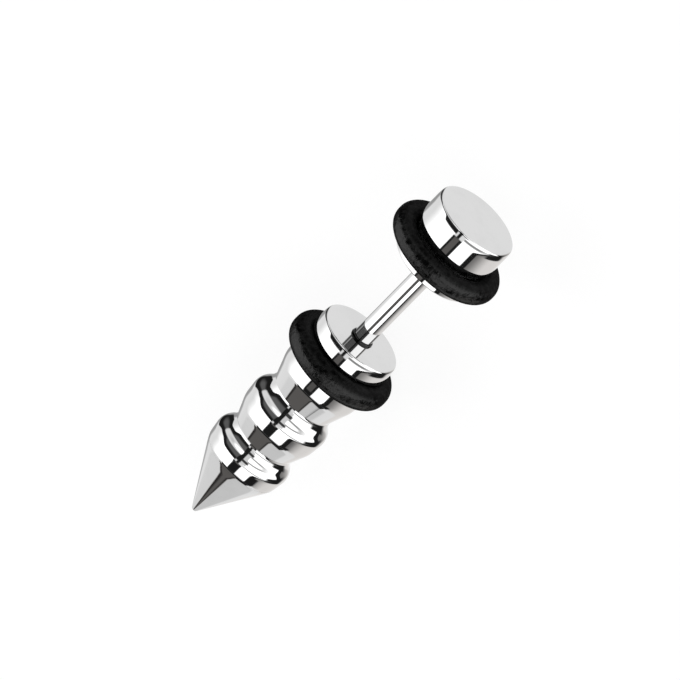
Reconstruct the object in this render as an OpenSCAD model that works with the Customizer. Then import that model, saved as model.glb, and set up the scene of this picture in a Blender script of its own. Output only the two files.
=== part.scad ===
// Faux taper earring: a spike that sits in front of the ear lobe, a thin post that goes through it,
// and a round head behind it. Both ends carry a rubber ring in a groove. Millimetres.
// Distances along the earring are measured from the spike's tip, towards the head.

/* [Spike] */
// Radius of the blunt tip
tip_r = 0.22; // [0.12:0.02:0.3]
// Where the pointed cone ends
cone_end = 4.45; // [4:0.05:4.9]
// Radius at the cone's base
cone_r = 2.445; // [2.3:0.005:2.5]
// Crest of the first bead
bead_1_at = 5.15; // [5:0.05:5.3]
// Radius of the first bead at its crest
bead_1_r = 2.53; // [2.5:0.01:2.6]
// Where the first flare leaves the neck
flare_1_start = 6.4; // [6.35:0.05:6.6]
// Where the first flare meets its bead
flare_1_end = 7.59; // [7.4:0.01:7.8]
// Radius where the first flare meets its bead
flare_1_r = 2.5; // [2.3:0.01:2.55]
// Crest of the second bead
bead_2_at = 8.39; // [8.2:0.01:8.6]
// Radius of the second bead at its crest
bead_2_r = 2.585; // [2.55:0.005:2.65]
// Where the second flare leaves the neck
flare_2_start = 9.82; // [9.6:0.01:10]
// Where the second flare meets the straight band
flare_2_end = 11.25; // [11:0.05:11.5]
// Radius where the second flare meets the straight band
flare_2_r = 2.53; // [2.4:0.01:2.56]
// Radius of the two necks
neck_r = 2.05; // [1.9:0.01:2.15]
// Rounding at a bead's crest
crest_round = 0.65; // [0.4:0.05:0.8]
// Rounding where a bead runs out into the neck
neck_round = 0.6; // [0.3:0.05:0.7]
// Slope of a bead's back, in degrees from the axis
back_slope = 41.6; // [38:0.1:50]

/* [Front plate] */
// Radius of the front plate
plate_r = 2.567; // [2.5:0.001:2.65]
// Rear edge of the front plate, where the groove ends
plate_start = 13.76; // [13.7:0.01:13.9]
// Face of the front plate, which lies on the ear lobe
plate_face = 14.877; // [14.7:0.001:15.1]

/* [Post] */
// Diameter of the post (16 gauge)
post_d = 1.2; // [1:0.05:1.6]
// Length of post hidden in the spike
pin_in_spike = 2.4; // [1.5:0.1:3]
// Length of post hidden in the head
pin_in_head = 2.2; // [1.5:0.1:3]
// Radius of the countersink round the post in the front plate
countersink_r = 0.68; // [0.66:0.01:0.75]
// Depth of that countersink
countersink_h = 0.06; // [0.04:0.01:0.1]

/* [Head] */
// Rear face of the thin flange, behind the ear lobe
flange_start = 21.03; // [20:0.01:23]
// Thickness of the thin flange
flange_h = 0.53; // [0.4:0.01:0.54]
// Radius of the thin flange
flange_r = 2.583; // [2.5:0.001:2.65]
// Width of the head's groove
head_groove_w = 1.7; // [1.5:0.05:2]
// Thickness of the round cap
cap_h = 1.74; // [1.2:0.02:2.4]
// Radius of the round cap
cap_r = 2.606; // [2.5:0.001:2.7]

/* [Edges] */
// Rounding round the two faces
face_round = 0.22; // [0.1:0.01:0.3]
// Rounding of the other edges of the plate, the flange and the cap
edge_round = 0.09; // [0.04:0.01:0.12]

/* [Rubber rings] */
// Radius of the circle through the middle of the taper's ring
taper_ring_r = 2.76; // [2.7:0.01:2.8]
// Half the height of that ring's section
taper_ring_h = 0.67; // [0.6:0.01:0.7]
// Half the width of that ring's section, pressed between the groove's walls
taper_ring_w = 0.75; // [0.7:0.01:0.76]
// Radius of the circle through the middle of the head's ring
head_ring_r = 2.99; // [2.9:0.01:3.1]
// Half the height of that ring's section
head_ring_h = 0.61; // [0.55:0.01:0.65]
// Half the width of that ring's section
head_ring_w = 0.67; // [0.62:0.01:0.75]
// Gap left between neighbouring pieces
gap = 0.03; // [0.02:0.01:0.04]

/* [Hidden] */
$fn = 96;
arc_steps = 6;
edge_steps = 3;
steel = [0.78, 0.78, 0.79];
rubber = [0.09, 0.09, 0.09];

// The pointed cone is the tangent from the blunt tip to the cone's base
cone_angle = atan(cone_r / (cone_end - tip_r)) - asin(tip_r / norm([cone_r, cone_end - tip_r]));

taper_ring_at = plate_start - gap - taper_ring_w;
taper_groove_start = taper_ring_at - taper_ring_w - gap;
taper_floor_r = taper_ring_r - taper_ring_h - gap;

flange_end = flange_start + flange_h;
cap_start = flange_end + head_groove_w;
cap_face = cap_start + cap_h;
head_ring_at = flange_end + gap + head_ring_w;
head_floor_r = head_ring_r - head_ring_h - gap;

bore_r = post_d / 2 + gap;

// The earring lies on the taper's ring and the first bead, with the head raised, so the floor is the
// tangent to the rounding of that ring's section and to the rounding of that bead's crest
ring_flat = taper_ring_w - taper_ring_h;
reach_x = taper_ring_at - ring_flat - bead_1_at;
reach_r = taper_ring_r - (bead_1_r - crest_round);
rest_tilt = asin((taper_ring_h - crest_round) / norm([reach_x, reach_r])) + atan(reach_r / reach_x);
rest_drop = taper_ring_r * cos(rest_tilt) + taper_ring_h
    - (taper_ring_at - ring_flat) * sin(rest_tilt);
rest_low_x = tip_r * (cos(rest_tilt) - 1);
rest_high_x = (cap_face - face_round) * cos(rest_tilt) + (cap_r - face_round) * sin(rest_tilt)
    + face_round;

// Points of an arc in the plane of [radius, distance], from angle a to angle b, where 0 points
// outwards and 90 towards the head
function arc(centre, r, a, b, steps) =
    [for (i = [0:steps]) let (t = a + (b - a) * i / steps) centre + r * [cos(t), sin(t)]];

// Angle at which the line from a point meets a circle that lies further along, as a tangent
function tangent_angle(point, centre, r) =
    let (d = centre - point) asin(r / norm(d)) + atan2(d[0], d[1]);

// Outline of a bead from its crest down its back to the neck, after the line that comes from the
// point before it
function bead(point, crest_at, crest_r) =
    let (
        crest = [crest_r - crest_round, crest_at],
        fall = crest_r - neck_r - (crest_round + neck_round) * (1 - cos(back_slope)),
        neck_at = crest_at + (crest_round + neck_round) * sin(back_slope) + fall / tan(back_slope)
    )
    concat(
        arc(crest, crest_round, -tangent_angle(point, crest, crest_round), back_slope, arc_steps),
        arc([neck_r + neck_round, neck_at], neck_round, 180 + back_slope, 180, arc_steps)
    );

// Lays a piece that was made along +Z on the floor, as the whole earring rests
module as_it_rests() {
    translate([-(rest_low_x + rest_high_x) / 2, 0, rest_drop])
        rotate([0, 90 - rest_tilt, 0])
        children();
}

// Blind hole for the post, from its mouth at one level to its end at another
module post_bore(mouth, end) {
    low = min(mouth, end);
    high = max(mouth, end);
    translate([0, 0, low])
        cylinder(r = bore_r, h = high - low);
}

module ring(at, centre_r, half_h, half_w) {
    rotate_extrude()
        translate([centre_r, at])
        union() {
            square([2 * half_h, 2 * (half_w - half_h)], center = true);
            for (side = [-1, 1])
                translate([0, side * (half_w - half_h)])
                circle(r = half_h);
        }
}

module spike_taper() {
    cone_foot = [cone_r, cone_end];
    flare_1_foot = [flare_1_r, flare_1_end];
    outline = concat(
        arc([0, tip_r], tip_r, -90, -cone_angle, arc_steps),
        [cone_foot],
        bead(cone_foot, bead_1_at, bead_1_r),
        [[neck_r, flare_1_start], flare_1_foot],
        bead(flare_1_foot, bead_2_at, bead_2_r),
        [[neck_r, flare_2_start], [flare_2_r, flare_2_end]],
        [[plate_r, taper_groove_start], [taper_floor_r, taper_groove_start]],
        [[taper_floor_r, plate_start]],
        arc([plate_r - edge_round, plate_start + edge_round], edge_round, -90, 0, edge_steps),
        arc([plate_r - face_round, plate_face - face_round], face_round, 0, 90, edge_steps),
        [[0, plate_face]]
    );
    color(steel)
        as_it_rests()
        difference() {
            rotate_extrude() polygon(outline);
            post_bore(plate_face + 1, plate_face - pin_in_spike - gap);
            translate([0, 0, plate_face - countersink_h])
                cylinder(r1 = bore_r, r2 = 2 * countersink_r - bore_r, h = 2 * countersink_h);
        }
}

module taper_o_ring() {
    color(rubber)
        as_it_rests()
        ring(taper_ring_at, taper_ring_r, taper_ring_h, taper_ring_w);
}

module ear_post() {
    low = plate_face - pin_in_spike;
    color(steel)
        as_it_rests()
        translate([0, 0, low])
        cylinder(d = post_d, h = flange_start + pin_in_head - low);
}

module head_plug() {
    outline = concat(
        [[0, flange_start]],
        arc([flange_r - edge_round, flange_start + edge_round], edge_round, -90, 0, edge_steps),
        arc([flange_r - edge_round, flange_end - edge_round], edge_round, 0, 90, edge_steps),
        [[head_floor_r, flange_end], [head_floor_r, cap_start]],
        arc([cap_r - edge_round, cap_start + edge_round], edge_round, -90, 0, edge_steps),
        arc([cap_r - face_round, cap_face - face_round], face_round, 0, 90, edge_steps),
        [[0, cap_face]]
    );
    color(steel)
        as_it_rests()
        difference() {
            rotate_extrude() polygon(outline);
            post_bore(flange_start - 1, flange_start + pin_in_head + gap);
        }
}

module head_o_ring() {
    color(rubber)
        as_it_rests()
        ring(head_ring_at, head_ring_r, head_ring_h, head_ring_w);
}

spike_taper();
taper_o_ring();
ear_post();
head_plug();
head_o_ring();
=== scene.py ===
import math

import bpy
from mathutils import Matrix, Vector


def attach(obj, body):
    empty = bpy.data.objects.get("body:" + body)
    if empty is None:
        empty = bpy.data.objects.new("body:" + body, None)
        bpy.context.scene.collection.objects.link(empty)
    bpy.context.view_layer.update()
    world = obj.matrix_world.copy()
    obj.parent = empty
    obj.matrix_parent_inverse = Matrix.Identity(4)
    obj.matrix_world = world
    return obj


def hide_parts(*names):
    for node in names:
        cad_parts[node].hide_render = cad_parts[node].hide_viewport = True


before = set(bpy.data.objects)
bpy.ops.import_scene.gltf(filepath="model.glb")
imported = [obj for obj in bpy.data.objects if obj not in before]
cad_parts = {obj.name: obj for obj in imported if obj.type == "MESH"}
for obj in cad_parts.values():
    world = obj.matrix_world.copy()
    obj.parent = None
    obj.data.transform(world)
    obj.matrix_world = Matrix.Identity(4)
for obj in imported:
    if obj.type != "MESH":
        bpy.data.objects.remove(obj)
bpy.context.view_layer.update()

# Faux taper earring: a polished spike in front, a thin post and a round capped head, each end with
# a black rubber ring. Outlines are in millimetres, as (distance from the tip, radius), and slopes
# are in degrees. Most of these values repeat the CAD source's, because this script can't read it.
MM = 0.001
TIP = Vector((-12.55417, 0.0, 1.92329)) * MM
TILT = math.radians(6.625013)

# Spike
TIP_R = 0.22
CONE_SLOPE, CONE_FOOT_SLOPE = 27.9, 19.0
CONE_BEND_AT, CONE_END = 3.9, 4.45
NECK_R = 2.05
FLARE_1_START, FLARE_1_END, FLARE_1_R = 6.4, 7.59, 2.5
FLARE_2_START, FLARE_2_END, FLARE_2_R = 9.82, 11.25, 2.53
TAPER_GROOVE_START, TAPER_GROOVE_R = 12.2, 2.06
PLATE_START, PLATE_FACE, PLATE_R = 13.76, 14.877, 2.567

# Beads: where the crest is, its radius, its rounding, the slope of the back and the rounding into
# the neck
BEAD_1 = (5.20, 2.53, 0.78, 41.6, 0.8)
BEAD_2 = (8.48, 2.585, 0.8, 41.0, 1.1)

# Post, the bores that its ends sit in, and the low lip round it on the plate
POST_START, POST_END, POST_R = 12.477, 23.23, 0.6
BORE_R, BORE_CLEARANCE = 0.63, 0.03
LIP_R, LIP_H, LIP_EDGE = 0.70, 0.12, 0.01

# Head
FLANGE_START, FLANGE_END, FLANGE_R = 21.03, 21.56, 2.583
HEAD_GROOVE_R = 2.35
CAP_START, CAP_FACE, CAP_R = 23.26, 25.0, 2.606

# Rubber rings: where the middle of the section is, its distance from the axis, and half its height
# and width
TAPER_RING = (12.98, 2.76, 0.67, 0.75)
HEAD_RING = (22.26, 2.99, 0.61, 0.67)
BETWEEN_RINGS = 17.0

# Rounding of edges and corners, and the side that falls in towards the plate's and the cap's face
FACE_ROUND = 0.14
EDGE_ROUND = 0.09
CREASE_ROUND = 0.06
GROOVE_EDGE_ROUND = 0.05
CONE_FOOT_ROUND, FLARE_FOOT_ROUND = 1.5, 1.8
CROWN_LENGTH, CROWN_SLOPE = 0.42, 9.0

# Fineness of the meshes: steps round the axis and in each kind of curve
ROUND_STEPS = 256
CORNER_STEPS = EDGE_STEPS = BEND_STEPS = 8
TIP_STEPS = CROWN_STEPS = 12
FACE_STEPS = 24
CREST_STEPS, BACK_STEPS = 20, 14
RING_STEPS = 28
HELD_FROM, HELD_MARGIN, LONGEST_STRIP = 0.12, 0.02, 0.5
OUTLINE_WELD, SPUN_WELD = 1e-8, 2e-8
SHARP_FROM = math.radians(30)

# Steel: colours, marks and blotches to the millimetre, depths of the bumps in metres, and the
# painted
# shade at the lip: a dark ring in the corner where the post leaves the plate
STEEL, DULL_STEEL, ROOT_SHADE_COLOUR = (0.69,) * 3, (0.66,) * 3, (0.03,) * 3
MARKS, WAVES, SMEARS = 14.0, 0.8, 0.55
MARK_DEPTH, WAVE_DEPTH = 2e-7, 2.5e-6
# Where the painted shade lies: from just before the plate's face to just past the lip, and out to
# just past the lip's radius
ROOT_SHADE_START, ROOT_SHADE_END, ROOT_SHADE_R = PLATE_FACE - 0.05, PLATE_FACE + LIP_H + 0.02, LIP_R + 0.015

# Rubber: colours from clean to dusty, blotches to the millimetre and the depth of the grain
SHEEN_COLOURS = (0.0006,) * 3, (0.014,) * 3
# The duller copy's darker colours are painted shade on the ring's sides in the grooves and along
# its glancing edges
SHADED_DULL_COLOURS = (0.0004,) * 3, (0.008,) * 3
GRAIN, PITS, SPECKS = 16.0, 3.4, 26.0
GRAIN_DEPTH = 8e-6

# Floor of white paper
FLOOR_SIZE = 4.0
PAPER_COLOURS = (0.2,) * 3, (0.22,) * 3
FIBRES = 60.0
FLOOR_GLOW = 0.86

# Brightness of the studio's panels, the softness of their edges in degrees, the backdrop as the
# camera sees it, and the tint of the panels that are warm
BARE, BRIGHT, BLACK = 1.0, 1.9, 0.015
PANEL_EDGE = 1.5
BACKDROP = 1.05
WHITE, WARM = (1.0, 1.0, 1.0), (1.02, 0.97, 0.93)

# The photo's view: the earring's axis leans towards the camera, and the camera looks down steeply
LEAN = math.asin(0.43)
LOOK_DOWN = math.radians(60)
AXIS_IN_PICTURE = math.radians(45.54)
CAMERA_DISTANCE = 1.0
SENSOR_WIDTH = 36.0
NEAREST, FARTHEST = 0.05, 10.0
PICTURE_HALF_WIDTH = 18.889 * MM
PICTURE_MIDDLE_ALONG, PICTURE_MIDDLE_ASIDE = 13.859, -0.803


# Directions
def camera_direction():
    """The direction from the earring to the camera, on the side of -Y."""
    up = math.sin(LOOK_DOWN)
    along = (math.sin(LEAN) - AXIS.z * up) / AXIS.x
    return Vector((along, -math.sqrt(1 - up * up - along * along), up))


def on_axis(along, aside):
    """A point by its distances from the tip and to the picture's lower right, in millimetres."""
    return TIP + AXIS * along * MM + ASIDE * aside * MM


# Along the axis to the head, to the camera, square to the axis towards the camera, and to the
# picture's lower right
AXIS = Vector((math.cos(TILT), 0.0, math.sin(TILT)))
TO_CAMERA = camera_direction()
FRONTWARD = (TO_CAMERA - AXIS * TO_CAMERA.dot(AXIS)).normalized()
ASIDE = AXIS.cross(FRONTWARD)


# Outlines
def arc(centre, radius, start, end, steps):
    """Points of an arc, where 0 degrees is outwards and 90 towards the head."""
    turns = [math.radians(start + (end - start) * i / steps) for i in range(steps + 1)]
    return [(centre[0] + radius * math.sin(t), centre[1] + radius * math.cos(t)) for t in turns]


def tangent_angle(point, centre, radius):
    """Angle at which the line from a point meets a circle further along, as a tangent."""
    along, out = centre[0] - point[0], centre[1] - point[1]
    return math.degrees(math.asin(radius / math.hypot(along, out)) + math.atan2(out, along))


def rounded(before, corner, after, radius):
    """The arc that rounds the corner of an outline and touches both of its sides."""
    corner = Vector(corner)
    back, on = (Vector(before) - corner).normalized(), (Vector(after) - corner).normalized()
    half = back.angle(on) / 2
    reach = radius / math.tan(half)
    centre = corner + (back + on).normalized() * (radius / math.sin(half))
    start, end = corner + back * reach - centre, corner + on * reach - centre
    shares = [i / CORNER_STEPS for i in range(CORNER_STEPS + 1)]
    return [tuple(centre + start.slerp(end, share) * radius) for share in shares]


def softened(outline):
    """An outline whose corners are rounded where a point carries a radius as its third number."""
    points = [outline[0][:2]]
    for before, corner, after in zip(outline, outline[1:], outline[2:]):
        if len(corner) == 3:
            points += rounded(before[:2], corner[:2], after[:2], corner[2])
        else:
            points.append(corner)
    return points + [outline[-1][:2]]


def held(points):
    """Adds points just inside both ends of each long straight stretch, which keep it flat, and
    divides what lies between them."""
    out = [points[0]]
    for (u0, r0), (u1, r1) in zip(points, points[1:]):
        length = math.hypot(u1 - u0, r1 - r0)
        if length > HELD_FROM:
            inner = length - 2 * HELD_MARGIN
            parts = max(1, math.ceil(inner / LONGEST_STRIP))
            marks = [HELD_MARGIN + inner * i / parts for i in range(parts + 1)]
            out += [(u0 + (u1 - u0) * m / length, r0 + (r1 - r0) * m / length) for m in marks]
        out.append((u1, r1))
    return out


def tip_side_edge(start, side_r):
    """The rounded edge from a wall that faces the tip to the side behind it."""
    return arc((start + EDGE_ROUND, side_r - EDGE_ROUND), EDGE_ROUND, -90, 0, EDGE_STEPS)


def head_side_edge(end, side_r):
    """The rounded edge from a side to the wall behind it, which faces the head."""
    return arc((end - EDGE_ROUND, side_r - EDGE_ROUND), EDGE_ROUND, 0, 90, EDGE_STEPS)


def crowned_rim(face, side_r):
    """A side that first falls in a little, as polishing leaves it, and then rounds into a face."""
    slope = math.radians(CROWN_SLOPE)
    crown = CROWN_LENGTH / math.sin(slope)
    drop = crown * (1 - math.cos(slope))
    rim = (face - FACE_ROUND, side_r - drop - FACE_ROUND * math.cos(slope))
    start = rim[0] + FACE_ROUND * math.sin(slope) - CROWN_LENGTH
    return (
        arc((start, side_r - crown), crown, 0, CROWN_SLOPE, CROWN_STEPS)
        + arc(rim, FACE_ROUND, CROWN_SLOPE, 90, FACE_STEPS)
    )


def cone():
    """The rounded tip, the cone and the gentle bend before its foot."""
    steep, shallow = math.radians(CONE_SLOPE), math.radians(CONE_FOOT_SLOPE)
    bend = (CONE_END - CONE_BEND_AT) / (math.sin(steep) - math.sin(shallow))
    straight = CONE_BEND_AT - TIP_R * (1 - math.sin(steep))
    bend_r = TIP_R * math.cos(steep) + straight * math.tan(steep)
    bend_centre = (CONE_BEND_AT + bend * math.sin(steep), bend_r - bend * math.cos(steep))
    return (
        arc((TIP_R, 0.0), TIP_R, -90, -CONE_SLOPE, TIP_STEPS)
        + arc(bend_centre, bend, -CONE_SLOPE, -CONE_FOOT_SLOPE, BEND_STEPS)
    )


def bead(foot, crest_at, crest_r, crest_round, back_slope, neck_round):
    """From the line that leaves foot, over a bead's crest and down its back to the neck."""
    crest = (crest_at, crest_r - crest_round)
    slope = math.radians(back_slope)
    rounds = crest_round + neck_round
    fall = crest_r - NECK_R - rounds * (1 - math.cos(slope))
    neck = (crest_at + rounds * math.sin(slope) + fall / math.tan(slope), NECK_R + neck_round)
    front_slope = tangent_angle(foot, crest, crest_round)
    return (
        arc(crest, crest_round, -front_slope, back_slope, CREST_STEPS)
        + arc(neck, neck_round, 180 + back_slope, 180, BACK_STEPS)
    )


def spike_outline():
    """The tip, the cone, two beads with their flares, the grooved band, the plate and the bore."""
    *cone_side, cone_foot = cone()
    flare_1_foot = (FLARE_1_END, FLARE_1_R)
    lip_top = PLATE_FACE + LIP_H
    bore_end = POST_START - BORE_CLEARANCE
    return softened(
        cone_side
        + [(*cone_foot, CONE_FOOT_ROUND)]
        + bead(cone_foot, *BEAD_1)
        + [(FLARE_1_START, NECK_R, CREASE_ROUND), (*flare_1_foot, FLARE_FOOT_ROUND)]
        + bead(flare_1_foot, *BEAD_2)
        + [(FLARE_2_START, NECK_R, CREASE_ROUND), (FLARE_2_END, FLARE_2_R, FLARE_FOOT_ROUND)]
        + [(TAPER_GROOVE_START, PLATE_R, GROOVE_EDGE_ROUND)]
        + [(TAPER_GROOVE_START, TAPER_GROOVE_R, GROOVE_EDGE_ROUND)]
        + [(PLATE_START, TAPER_GROOVE_R, GROOVE_EDGE_ROUND)]
        + tip_side_edge(PLATE_START, PLATE_R)
        + crowned_rim(PLATE_FACE, PLATE_R)
        + [(PLATE_FACE, LIP_R), (lip_top - LIP_EDGE, LIP_R - LIP_EDGE), (lip_top, BORE_R)]
        + [(bore_end, BORE_R), (bore_end, 0.0)]
    )


def head_outline():
    """The bore, the thin flange, the groove and the round cap."""
    bore_end = POST_END + BORE_CLEARANCE
    return softened(
        [(bore_end, 0.0), (bore_end, BORE_R), (FLANGE_START, BORE_R, GROOVE_EDGE_ROUND / 2)]
        + tip_side_edge(FLANGE_START, FLANGE_R)
        + head_side_edge(FLANGE_END, FLANGE_R)
        + [(FLANGE_END, HEAD_GROOVE_R, GROOVE_EDGE_ROUND)]
        + [(CAP_START, HEAD_GROOVE_R, GROOVE_EDGE_ROUND)]
        + tip_side_edge(CAP_START, CAP_R)
        + crowned_rim(CAP_FACE, CAP_R)
        + [(CAP_FACE, 0.0)]
    )


def post_outline():
    """A plain pin with softened ends."""
    return softened(
        [(POST_START, 0.0), (POST_START, POST_R, EDGE_ROUND)]
        + [(POST_END, POST_R, EDGE_ROUND), (POST_END, 0.0)]
    )


def ring_outline(at, centre_r, half_height, half_width):
    """The section of a rubber ring: two half circles with a short flat between them."""
    flat = half_width - half_height
    start = (at, centre_r + half_height)
    return (
        [start]
        + arc((at + flat, centre_r), half_height, 0, 180, RING_STEPS)
        + arc((at - flat, centre_r), half_height, 180, 360, RING_STEPS)
        + [start]
    )


def turned(name, outline):
    """Turns an outline about the earring's axis into a piece, and lays it where it rests."""
    bpy.ops.object.select_all(action="DESELECT")
    bpy.ops.mesh.primitive_plane_add(size=2 * MM, location=(0, 0, 0))
    piece = bpy.context.active_object
    piece.name = piece.data.name = name
    points = [Vector((along, 0.0, out)) * MM for along, out in held(outline)]
    bpy.ops.object.mode_set(mode="EDIT")
    bpy.ops.mesh.select_all(action="SELECT")
    bpy.ops.mesh.merge(type="CENTER")
    bpy.ops.transform.translate(value=points[0])
    for here, there in zip(points, points[1:]):
        bpy.ops.mesh.extrude_vertices_move(TRANSFORM_OT_translate={"value": there - here})
    bpy.ops.mesh.select_all(action="SELECT")
    bpy.ops.mesh.remove_doubles(threshold=OUTLINE_WELD)
    bpy.ops.mesh.spin(steps=ROUND_STEPS, angle=math.tau, center=(0, 0, 0), axis=(1, 0, 0))
    bpy.ops.mesh.select_all(action="SELECT")
    bpy.ops.mesh.remove_doubles(threshold=SPUN_WELD)
    bpy.ops.mesh.normals_make_consistent(inside=False)
    bpy.ops.object.mode_set(mode="OBJECT")
    piece.location = TIP
    piece.rotation_euler = (0.0, -TILT, 0.0)
    bpy.ops.object.transform_apply(location=True, rotation=True, scale=True)
    bpy.ops.object.shade_smooth_by_angle(angle=SHARP_FROM)
    return piece


# Shader sums
class Wire:
    """A node's output, which takes part in Python sums as a number does."""

    def __init__(self, board, socket):
        self.board = board
        self.socket = socket

    def __add__(self, other):
        return self.board.sum("ADD", self, other)

    def __radd__(self, other):
        return self.board.sum("ADD", other, self)

    def __sub__(self, other):
        return self.board.sum("SUBTRACT", self, other)

    def __rsub__(self, other):
        return self.board.sum("SUBTRACT", other, self)

    def __mul__(self, other):
        return self.board.sum("MULTIPLY", self, other)

    def __rmul__(self, other):
        return self.board.sum("MULTIPLY", other, self)


class Board:
    """A node tree. Every node on it comes from add."""

    def __init__(self, tree):
        self.tree = tree
        tree.nodes.clear()

    def add(self, kind, settings=None, sockets=None, output=0):
        """A node of that type with its settings and its sockets' values or links. Gives the wire
        from one of its outputs."""
        node = self.tree.nodes.new(kind)
        for name, value in (settings or {}).items():
            setattr(node, name, value)
        for name, value in (sockets or {}).items():
            if isinstance(value, Wire):
                self.tree.links.new(value.socket, node.inputs[name])
            else:
                node.inputs[name].default_value = value
        return Wire(self, node.outputs[output]) if node.outputs else None

    def sum(self, operation, *values):
        """A sum of numbers and wires."""
        return self.add("ShaderNodeMath", {"operation": operation}, dict(enumerate(values)))

    def vector_sum(self, operation, sockets, output="Vector"):
        """A sum of vectors."""
        return self.add("ShaderNodeVectorMath", {"operation": operation}, sockets, output)

    def blend(self, share, one, other):
        """The colour one where share is 0 and other where it is 1."""
        values = {0: share, 6: colour_of(one), 7: colour_of(other)}
        return self.add("ShaderNodeMix", {"data_type": "RGBA"}, values, output=2)

    def rise(self, value, edge, soft):
        """0 below an edge and 1 above it, with a soft step between."""
        return self.add(
            "ShaderNodeMapRange",
            {"interpolation_type": "SMOOTHSTEP"},
            {"Value": value, "From Min": edge - soft, "From Max": edge + soft},
        )

    def between(self, value, low, high, low_soft, high_soft):
        """1 from one edge to another and 0 outside them."""
        return self.rise(value, low, low_soft) * (1 - self.rise(value, high, high_soft))

    def noise(self, place, scale, detail, roughness=0.5):
        """Soft random blotches, so many to the millimetre."""
        sockets = {"Vector": place, "Scale": scale, "Detail": detail, "Roughness": roughness}
        return self.add("ShaderNodeTexNoise", {}, sockets, "Fac")

    def bump(self, height, depth, **under):
        """A bump of that depth in metres, over another one where it is given as Normal."""
        sockets = {"Strength": 1.0, "Distance": depth, "Height": height, **under}
        return self.add("ShaderNodeBump", {}, sockets, "Normal")

    def principled(self, sockets):
        """A surface with those values."""
        return self.add("ShaderNodeBsdfPrincipled", {}, sockets)

    def show(self, surface):
        """Gives the material that surface."""
        self.add("ShaderNodeOutputMaterial", {}, {"Surface": surface})


def colour_of(value):
    """A colour socket's value, from a wire or from three numbers."""
    return value if isinstance(value, Wire) else (*value, 1.0)


def new_finish(name):
    """An empty material and its board."""
    finish = bpy.data.materials.new(name)
    finish.use_nodes = True
    return finish, Board(finish.node_tree)


def axis_place(board):
    """Places in millimetres, with X along the earring from its tip, and that X alone."""
    place = board.add(
        "ShaderNodeMapping",
        {},
        {
            "Vector": board.add("ShaderNodeTexCoord", output="Object"),
            "Location": -(Matrix.Rotation(TILT, 3, "Y") @ TIP) / MM,
            "Rotation": (0.0, TILT, 0.0),
            "Scale": (1 / MM,) * 3,
        },
    )
    return place, board.add("ShaderNodeSeparateXYZ", {}, {0: place}, "X")


# Finishes
def polished_steel(name):
    """Mirror-polished surgical steel: faint turning marks round the axis, a very slight waviness
    from the polishing wheel, patches a little duller than the rest, and painted shade, a dark ring
    in the corner where the post leaves the plate."""
    finish, board = new_finish(name)
    place, along = axis_place(board)
    across = board.vector_sum("MULTIPLY", {0: place, 1: (0, 1, 1)})
    radius = board.vector_sum("LENGTH", {0: across}, "Value")
    marks = board.add(
        "ShaderNodeTexNoise",
        {"noise_dimensions": "1D"},
        {"W": along + radius, "Scale": MARKS, "Detail": 4.0, "Roughness": 0.6},
    )
    waves = board.noise(place, WAVES, detail=1.0)
    smears = board.noise(place, SMEARS, detail=4.0, roughness=0.6)
    dull = board.rise(smears, edge=0.56, soft=0.12)
    worn = board.blend(dull * 0.8 + marks * 0.2, STEEL, DULL_STEEL)
    # Painted shade: a dark ring on the lip and on the post, in the corner where the post leaves
    # the plate
    seam = board.between(along, ROOT_SHADE_START, ROOT_SHADE_END, low_soft=0.01, high_soft=0.02)
    seam = seam * (1 - board.rise(radius, ROOT_SHADE_R, soft=0.01))
    marked = board.bump(marks, MARK_DEPTH)
    board.show(board.principled({
        "Base Color": board.blend(seam, worn, ROOT_SHADE_COLOUR),
        "Metallic": 1.0,
        "Roughness": 0.035 + dull * 0.02 + marks * 0.02,
        "Normal": board.bump(waves, WAVE_DEPTH, Normal=marked),
    }))
    return finish


def ring_rubber():
    """Black rubber: a fine moulded grain and pits, and a faint sheen round the outside. The sides
    where the grooves press on it are duller, and they and the glancing edges take a darker copy of
    the rubber, which is painted shade."""
    finish, board = new_finish("ring_rubber")
    place, along = axis_place(board)
    to_head = board.rise(along, BETWEEN_RINGS, soft=1)
    middle = TAPER_RING[0] + (HEAD_RING[0] - TAPER_RING[0]) * to_head
    off_middle = board.sum("ABSOLUTE", along - middle)
    grain = board.noise(place, GRAIN, detail=3.0, roughness=0.6)
    pits = board.rise(board.noise(place, PITS, detail=3.0, roughness=0.55), edge=0.53, soft=0.17)
    specks = board.rise(board.noise(place, SPECKS, detail=1.0), edge=0.68, soft=0.05)
    dust = pits * 0.75 + specks * 0.25
    bumped = board.bump(grain * 0.4 + pits * 2, GRAIN_DEPTH)
    sheen = board.principled({
        "Base Color": board.blend(dust, *SHEEN_COLOURS),
        "Roughness": 0.09 + grain * 0.1 + pits * 0.14,
        "Specular IOR Level": 0.26,
        "Normal": bumped,
    })
    # A duller, darker copy of the rubber, whose darker colour is painted shade
    dull = board.principled({
        "Base Color": board.blend(dust, *SHADED_DULL_COLOURS),
        "Roughness": 0.8 - grain * 0.2,
        "Specular IOR Level": 0.02,
        "Normal": bumped,
    })
    # Painted shade: the sides that sit in the grooves, and the glancing edges, take the darker,
    # duller copy
    pressed_and_shaded = board.rise(off_middle + (grain - 0.5) * 0.2, edge=0.42, soft=0.16) * 0.85
    glancing = board.add("ShaderNodeLayerWeight", {}, {"Blend": 0.5, "Normal": bumped}, "Facing")
    shiny = (1 - pressed_and_shaded) * (1 - board.rise(glancing, edge=0.54, soft=0.13))
    board.show(board.add("ShaderNodeMixShader", {}, {0: shiny, 1: dull, 2: sheen}))
    return finish


def white_floor():
    """White sweep paper that is lit from below as well, so that it stays white in the picture."""
    finish, board = new_finish("white_floor")
    place = board.add("ShaderNodeTexCoord", output="Object")
    fibres = board.noise(place, FIBRES, detail=4.0, roughness=0.6)
    board.show(board.principled({
        "Base Color": board.blend(fibres, *PAPER_COLOURS),
        "Roughness": 0.9,
        "Specular IOR Level": 0.0,
        "Emission Color": (*WHITE, 1.0),
        "Emission Strength": FLOOR_GLOW,
    }))
    return finish


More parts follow.
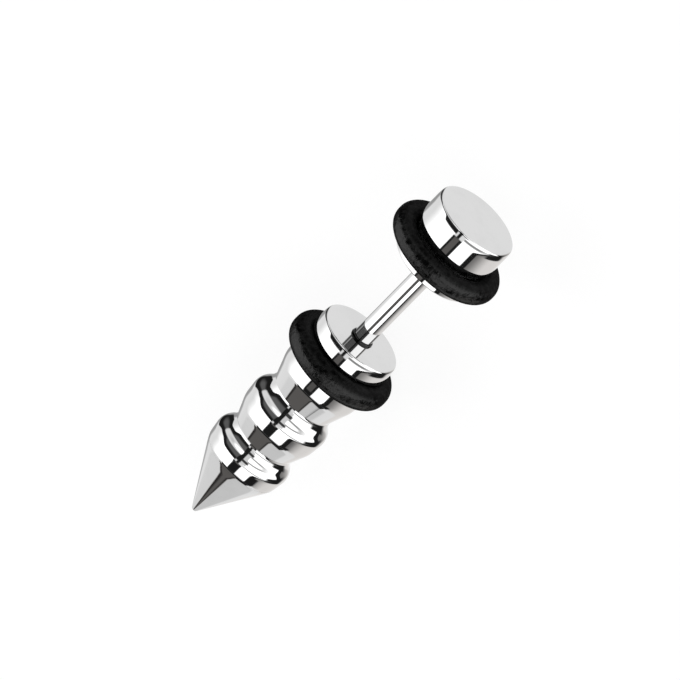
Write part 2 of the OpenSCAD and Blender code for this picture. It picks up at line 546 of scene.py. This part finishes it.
# Studio: white and black panels round the earring, which the steel mirrors
def studio_panels(board, ray):
    """Each panel's mask, brightness and warmth, where a later one covers an earlier one. They are
    placed by direction: height above the plane square to the axis, towards the tip, and turn round
    the axis from the camera's side to the picture's lower right, both in degrees."""

    def towards(direction):
        """How far the ray goes in a direction."""
        return board.vector_sum("DOT_PRODUCT", {0: ray, 1: direction}, "Value")

    def area(turns, heights, turn_soft=(PANEL_EDGE,) * 2, height_soft=(PANEL_EDGE,) * 2):
        """1 between two turns and two heights, with edges of that softness."""
        in_turns = board.between(turn, *turns, *turn_soft)
        return in_turns * board.between(height, *heights, *height_soft)

    soft = PANEL_EDGE
    height = board.sum("ARCSINE", towards(-AXIS)) * math.degrees(1)
    turn = board.sum("ARCTAN2", towards(ASIDE), towards(FRONTWARD)) * math.degrees(1)

    # The dark room under the upper white panel has a top and a foot, both by turn
    left = turn * -1
    room_top = 16 - 20 * board.rise(left, 69, 13) + 20 * board.rise(left, 114, 16)
    room_foot = turn * -0.25 - 49 - 14 * board.rise(left, 108, 10)
    in_room = board.between(turn, -158, -14, 6, soft) * board.rise(height, room_foot, 4)
    under_top = 1 - board.rise(height, room_top, soft)
    deep = 1 - board.rise(height, room_top - 24, 8)

    # The dark gap between the lower white panel and the wall past it turns back with height
    gap_at = 118 - 64 * board.rise(height, 14, 11)
    past_gap = board.between(turn, gap_at, 158, 4, 10) * board.between(height, -30, 42, 6, soft)
    in_slot = board.between(turn, -18, 10, soft, soft)

    # The wedge in the top panel lies between two planes through the earring
    upper_edge = towards(AXIS * -0.0414 + FRONTWARD * 0.787 + ASIDE * 0.615)
    lower_edge = towards(AXIS * 0.006 + FRONTWARD * 0.532 + ASIDE * -0.847)
    in_wedge = board.rise(upper_edge, 0.0, 0.02) * board.rise(lower_edge, 0.0, 0.02)
    off_edges = board.rise(upper_edge, 0.08, 0.03) * board.rise(lower_edge, 0.05, 0.03)

    # Two cards that are placed by the one direction that they lie in
    behind_all = towards((TO_CAMERA * -1 - ASIDE * 0.4).normalized())
    behind_head = towards((AXIS * 0.967 - FRONTWARD * 0.05 - ASIDE * 0.25).normalized())
    off_camera_side = 1 - board.rise(towards(FRONTWARD), 0.3, 0.1)

    return [
        # Pale top panel round the tip's direction, and a grey card behind the earring
        (board.rise(height, 52, soft), 0.9 - 0.13 * board.rise(turn, 0, 8), 0),
        (board.rise(behind_all, 0.955, 0.03), 0.4, 0),
        # Upper and lower white panel, the wall past the gap and the white beyond the head
        (area((-86, -16), (room_top, 46), (26, soft)), BRIGHT, 0),
        (area((10, gap_at), (-80, 42), (soft, soft), (3, soft)), BRIGHT, 0),
        (past_gap, 0.22 + 0.7 * board.rise(turn, gap_at + 30, 26), 0.6),
        (1 - board.rise(height, -50, 3), BRIGHT, 0),
        # Dark room, paler in its depth, and a grey card beyond the head
        (in_room * under_top, 0.015 + 0.12 * deep, 0),
        (board.rise(behind_head, 0.86, 0.1) * off_camera_side, 0.45, 0),
        # The gap, and two black cards beside it
        (area((gap_at - 7, gap_at + 7), (-30, 46), (soft, soft), (4, soft)), BLACK, 0),
        (area((82, 134), (-6, 23), (6, 8), (3, 1)), BLACK, 0),
        (area((56, 77), (36, 46), (4, 4), (2, 2)), BLACK, 0),
        # Two grey bars across the lower white panel
        (area((10, 80), (9, 15), (soft, 30), (2, 2)), 0.3, 0),
        (area((10, 80), (-46, -36), (soft, 30), (3, 3)), 0.4, 0),
        # The slot between the white panels, and the rods and cards under it
        (in_slot * board.between(height, 20, 46, 2, soft), BLACK, 0),
        (area((-1, 16), (-60, 4), (3, soft), (3, 6)), 0.85, 0),
        (area((-9, -1), (2, 21), (soft, soft), (2, 2)), BLACK, 0),
        (area((-15, 0), (-66, 4), (soft, soft), (2, 3)), BLACK, 0),
        (area((-2, 20), (-36, -16), (soft, 3), (3, 3)), 0.06, 0),
        # Dark brown card in the slot, black edge of the top panel, and the brown wedge in it
        (area((-12, 3), (22, 31), (soft, soft), (1, 2)), 0.13, 1),
        (area((-42, 72), (45, 57)), BLACK, 0),
        (in_wedge * board.rise(height, 52, soft), 0.03 + 0.1 * off_edges, 1),
    ]


def studio_light():
    """Lays the panels over a bare white studio. The camera itself sees a plain backdrop."""
    world = bpy.data.worlds.new("studio")
    bpy.context.scene.world = world
    world.use_nodes = True
    board = Board(world.node_tree)
    ray = board.add("ShaderNodeTexCoord", output="Generated")
    level, warmth = BARE, 0.0
    for mask, brightness, warm in studio_panels(board, ray):
        level = (1 - mask) * level + mask * brightness
        warmth = (1 - mask) * warmth + mask * warm
    seen = board.add("ShaderNodeLightPath", output="Is Camera Ray")
    level = (1 - seen) * level + seen * BACKDROP
    shade = board.blend((1 - seen) * warmth, WHITE, WARM)
    colour = board.vector_sum("SCALE", {0: shade, "Scale": level})
    lit = board.add("ShaderNodeBackground", {}, {"Color": colour, "Strength": 1.0})
    board.add("ShaderNodeOutputWorld", {}, {"Surface": lit})


# Camera and floor
def photo_camera():
    """The camera at the photo's angle to the earring."""
    sight = bpy.data.cameras.new("photo_camera")
    camera = bpy.data.objects.new("photo_camera", sight)
    bpy.context.scene.collection.objects.link(camera)
    bpy.context.scene.camera = camera
    sight.sensor_width = SENSOR_WIDTH
    sight.lens = SENSOR_WIDTH / 2 * CAMERA_DISTANCE / PICTURE_HALF_WIDTH
    sight.clip_start, sight.clip_end = NEAREST, FARTHEST
    axis_seen = (AXIS - TO_CAMERA * AXIS.dot(TO_CAMERA)).normalized()
    right = axis_seen * math.cos(AXIS_IN_PICTURE) + ASIDE * math.sin(AXIS_IN_PICTURE)
    up = axis_seen * math.sin(AXIS_IN_PICTURE) - ASIDE * math.cos(AXIS_IN_PICTURE)
    turn = Matrix((right, up, TO_CAMERA)).transposed().to_4x4()
    middle = on_axis(PICTURE_MIDDLE_ALONG, PICTURE_MIDDLE_ASIDE)
    camera.matrix_world = Matrix.Translation(middle + TO_CAMERA * CAMERA_DISTANCE) @ turn


def floor():
    """The white surface that the earring lies on."""
    bpy.ops.object.select_all(action="DESELECT")
    bpy.ops.mesh.primitive_plane_add(size=FLOOR_SIZE, location=(0, 0, 0))
    ground = bpy.context.active_object
    ground.name = "floor"
    ground.data.materials.append(white_floor())
    ground.visible_glossy = False


photo_camera()
floor()
studio_light()
bpy.context.scene.view_settings.view_transform = "Standard"

# Pieces: each one's name, outline, CAD node and material slot
PIECES = [
    ("polished_spike", spike_outline(), "spike_taper", "spike_steel"),
    ("spike_rubber_ring", ring_outline(*TAPER_RING), "taper_o_ring", "ring_rubber"),
    ("polished_post", post_outline(), "ear_post", "post_steel"),
    ("polished_head", head_outline(), "head_plug", "head_steel"),
    ("head_rubber_ring", ring_outline(*HEAD_RING), "head_o_ring", "ring_rubber"),
]
finishes = {"ring_rubber": ring_rubber()}
for steel in ("spike_steel", "post_steel", "head_steel"):
    finishes[steel] = polished_steel(steel)
for name, outline, node, slot in PIECES:
    piece = turned(name, outline)
    piece.data.materials.append(finishes[slot])
    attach(piece, "root")
    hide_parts(node)
